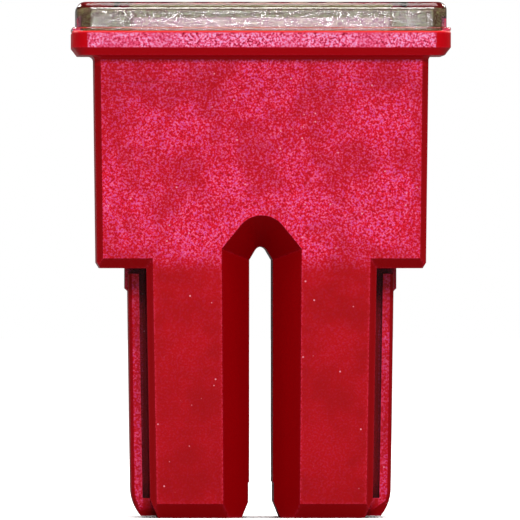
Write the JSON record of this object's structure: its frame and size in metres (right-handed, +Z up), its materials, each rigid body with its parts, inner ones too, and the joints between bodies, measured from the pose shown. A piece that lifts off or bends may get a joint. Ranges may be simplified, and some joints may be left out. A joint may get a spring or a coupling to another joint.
{
  "type": "automotive cartridge fuse",
  "caption": "Cartridge fuse for cars: a flanged red housing on hollow blade legs, with a clear window over its fuse link.",
  "frame": {"origin": "middle of the fuse, on the plane of the leg ends", "axes": "+Z up from the leg ends to the clear cap, +X across both legs, -Y towards the front"},
  "size_m": [0.022, 0.0142, 0.03],
  "materials": {
    "red_plastic": "moulded, satin to glossy, finely speckled",
    "clear_plastic": "clear, slightly yellow, polished",
    "tinned_copper": "matt tin plating on copper alloy sheet",
    "tin": "dull cast tin",
    "spring_steel": "rolled stainless spring sheet"
  },
  "bodies": {
    "root": {"housing": "red_plastic", "clear_cap": "clear_plastic", "fuse_link": "tinned_copper", "tin_pellet": "tin", "contact_clip_left": "spring_steel", "contact_clip_right": "spring_steel"}
  },
  "joints": []
}
